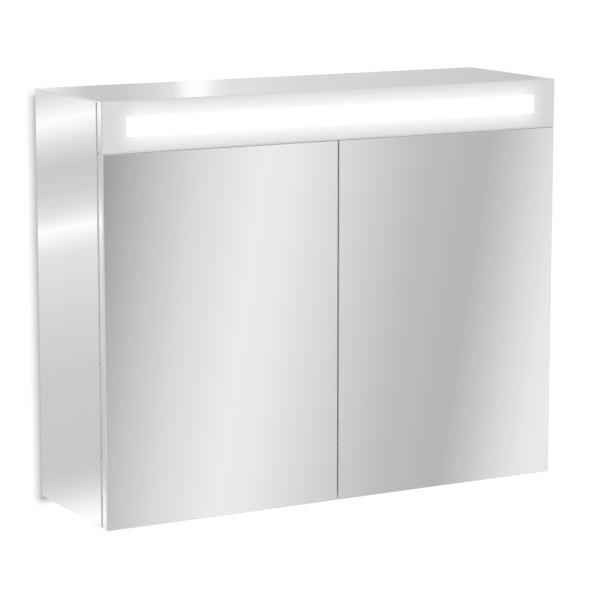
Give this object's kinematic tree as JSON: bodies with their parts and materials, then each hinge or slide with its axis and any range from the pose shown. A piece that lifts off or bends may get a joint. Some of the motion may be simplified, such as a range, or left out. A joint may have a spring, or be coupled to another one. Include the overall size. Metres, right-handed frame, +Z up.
{
  "type": "medicine cabinet with mirror",
  "caption": "Wall-hung mirror cabinet: two mirrored doors, mirrored sides, and a lit panel with a long frosted window above the doors.",
  "frame": {"origin": "centre of the wall brackets' four screw holes, on the wall plane", "axes": "+X to the right, +Y into the wall (the doors face -Y), +Z up"},
  "size_m": [0.8, 0.25, 0.65],
  "materials": {
    "white_board": "white melamine-faced board, satin",
    "white_hardboard": "white lacquered hardboard",
    "silvered_mirror": "silvered float glass, polished",
    "door_lacquer": "white satin lacquer",
    "top_sheet": "polished, clear lacquered sheet",
    "housing_aluminium": "anodised, fine brushed",
    "panel_glass": "back-painted light grey glass, polished",
    "opal_acrylic": "opal, frosted",
    "circuit_board": "white solder mask",
    "light_chip": "phosphor",
    "white_plastic": "moulded, fine matt",
    "grey_plastic": "moulded nylon",
    "wire_sheath": "vinyl sheath",
    "zinc_steel": "zinc plated",
    "nickel_steel": "nickel plated, satin",
    "pin_steel": "polished",
    "shelf_glass": "clear float glass, ground edges",
    "clear_rubber": "clear silicone"
  },
  "bodies": {
    "cabinet": {"side_panel_left": "white_board", "side_panel_right": "white_board", "side_mirror_left": "silvered_mirror", "side_mirror_right": "silvered_mirror", "bottom_panel": "white_board", "top_panel": "white_board", "centre_partition": "white_board", "front_rail": "white_board", "rear_batten": "white_board", "back_panel": "white_hardboard", "electrics_cover": "white_board", "electrics_cover_screws": "zinc_steel", "top_cover": "top_sheet", "carcass_screws": "zinc_steel", "header_housing": "housing_aluminium", "header_glass": "panel_glass", "header_end_caps": "housing_aluminium", "header_spacers": "grey_plastic", "header_screws": "zinc_steel", "light_diffuser": "opal_acrylic", "led_board": "circuit_board", "led_chips": "light_chip", "led_driver": "white_plastic", "terminal_block": "white_plastic", "wiring": "wire_sheath", "cable_gland": "grey_plastic", "wall_brackets": "zinc_steel", "hanger_bodies": "white_plastic", "hanger_hooks": "zinc_steel", "hanger_screws": "zinc_steel", "shelf_left_lower": "shelf_glass", "shelf_left_upper": "shelf_glass", "shelf_right_lower": "shelf_glass", "shelf_right_upper": "shelf_glass", "shelf_pins": "nickel_steel", "switch_box": "white_plastic", "latch_body_left": "white_plastic", "latch_body_right": "white_plastic", "hinge_frame_leaves": "nickel_steel", "hinge_frame_screws": "nickel_steel", "hinge_pins": "pin_steel"},
    "door_left": {"door_core_left": "door_lacquer", "door_mirror_left": "silvered_mirror", "inner_mirror_left": "silvered_mirror", "hinge_door_leaves_left": "nickel_steel", "hinge_door_screws_left": "nickel_steel", "strike_plate_left": "nickel_steel", "door_bumpers_left": "clear_rubber"},
    "door_right": {"door_core_right": "door_lacquer", "door_mirror_right": "silvered_mirror", "inner_mirror_right": "silvered_mirror", "hinge_door_leaves_right": "nickel_steel", "hinge_door_screws_right": "nickel_steel", "strike_plate_right": "nickel_steel", "door_bumpers_right": "clear_rubber"},
    "switch_rocker": {"switch_rocker": "white_plastic"},
    "latch_plunger_left": {"latch_plunger_left": "nickel_steel"},
    "latch_plunger_right": {"latch_plunger_right": "nickel_steel"}
  },
  "joints": [
    {"name": "door_left_hinge", "type": "hinge", "parent": "cabinet", "child": "door_left", "pos_m": [-0.3978, -0.2295, -0.31425], "axis": [0, 0, -1], "range_deg": [0, 105]},
    {"name": "door_right_hinge", "type": "hinge", "parent": "cabinet", "child": "door_right", "pos_m": [0.3978, -0.2295, -0.31425], "axis": [0, 0, 1], "range_deg": [0, 105]},
    {"name": "switch_rock", "type": "hinge", "parent": "cabinet", "child": "switch_rocker", "pos_m": [0.31, -0.138, -0.06], "axis": [1, 0, 0], "range_deg": [0, 16]},
    {"name": "latch_left_press", "type": "slide", "parent": "cabinet", "child": "latch_plunger_left", "axis": [0, 1, 0], "range_m": [0, 0.003], "stiffness_N_per_m": 150, "springref_m": -0.002},
    {"name": "latch_right_press", "type": "slide", "parent": "cabinet", "child": "latch_plunger_right", "axis": [0, 1, 0], "range_m": [0, 0.003], "stiffness_N_per_m": 150, "springref_m": -0.002}
  ]
}
